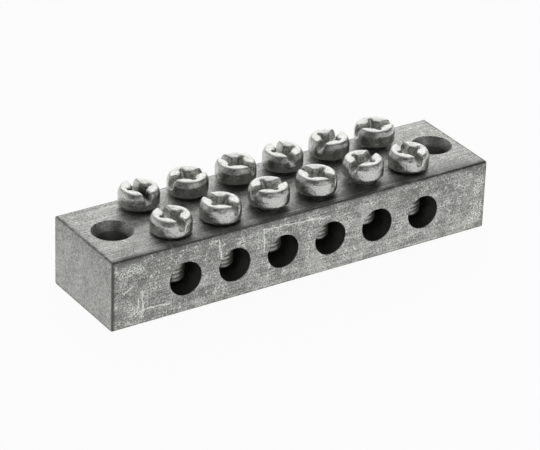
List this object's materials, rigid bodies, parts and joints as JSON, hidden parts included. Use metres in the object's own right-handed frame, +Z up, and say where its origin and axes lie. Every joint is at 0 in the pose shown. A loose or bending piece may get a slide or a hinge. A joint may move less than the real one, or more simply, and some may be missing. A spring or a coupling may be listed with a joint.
{
  "type": "earth terminal bar",
  "caption": "Rectangular metal bar with a row of wire tunnels through it, clamp screws over each tunnel in a front and a rear row, and a countersunk fixing hole near each end.",
  "frame": {"origin": "middle of the bar's underside", "axes": "+X along the bar to the right of the picture, +Y to the rear, +Z up out of the screw heads"},
  "size_m": [0.0786, 0.02, 0.0178],
  "materials": {
    "bar_metal": "extruded and sawn, dull, finely scratched",
    "screw_steel": "bright zinc plating"
  },
  "bodies": {
    "bar": {"bar": "bar_metal"},
    "front_screw_1": {"front_screw_1": "screw_steel"},
    "front_screw_2": {"front_screw_2": "screw_steel"},
    "front_screw_3": {"front_screw_3": "screw_steel"},
    "front_screw_4": {"front_screw_4": "screw_steel"},
    "front_screw_5": {"front_screw_5": "screw_steel"},
    "front_screw_6": {"front_screw_6": "screw_steel"},
    "rear_screw_1": {"rear_screw_1": "screw_steel"},
    "rear_screw_2": {"rear_screw_2": "screw_steel"},
    "rear_screw_3": {"rear_screw_3": "screw_steel"},
    "rear_screw_4": {"rear_screw_4": "screw_steel"},
    "rear_screw_5": {"rear_screw_5": "screw_steel"},
    "rear_screw_6": {"rear_screw_6": "screw_steel"}
  },
  "joints": [
    {"name": "front_screw_1_travel", "type": "slide", "parent": "bar", "child": "front_screw_1", "axis": [0, 0, 1], "range_m": [-0.00015, 0.0064]},
    {"name": "front_screw_2_travel", "type": "slide", "parent": "bar", "child": "front_screw_2", "axis": [0, 0, 1], "range_m": [-0.00025, 0.0064]},
    {"name": "front_screw_3_travel", "type": "slide", "parent": "bar", "child": "front_screw_3", "axis": [0, 0, 1], "range_m": [-0.00075, 0.0064]},
    {"name": "front_screw_4_travel", "type": "slide", "parent": "bar", "child": "front_screw_4", "axis": [0, 0, 1], "range_m": [-0.00065, 0.0064]},
    {"name": "front_screw_5_travel", "type": "slide", "parent": "bar", "child": "front_screw_5", "axis": [0, 0, 1], "range_m": [-0.001, 0.0064]},
    {"name": "front_screw_6_travel", "type": "slide", "parent": "bar", "child": "front_screw_6", "axis": [0, 0, 1], "range_m": [-0.00025, 0.0064]},
    {"name": "rear_screw_1_travel", "type": "slide", "parent": "bar", "child": "rear_screw_1", "axis": [0, 0, 1], "range_m": [-0.0004, 0.0064]},
    {"name": "rear_screw_2_travel", "type": "slide", "parent": "bar", "child": "rear_screw_2", "axis": [0, 0, 1], "range_m": [-0.00035, 0.0064]},
    {"name": "rear_screw_3_travel", "type": "slide", "parent": "bar", "child": "rear_screw_3", "axis": [0, 0, 1], "range_m": [-0.00055, 0.0064]},
    {"name": "rear_screw_4_travel", "type": "slide", "parent": "bar", "child": "rear_screw_4", "axis": [0, 0, 1], "range_m": [-0.00045, 0.0064]},
    {"name": "rear_screw_5_travel", "type": "slide", "parent": "bar", "child": "rear_screw_5", "axis": [0, 0, 1], "range_m": [-0.0005, 0.0064]},
    {"name": "rear_screw_6_travel", "type": "slide", "parent": "bar", "child": "rear_screw_6", "axis": [0, 0, 1], "range_m": [-0.0006, 0.0064]}
  ]
}
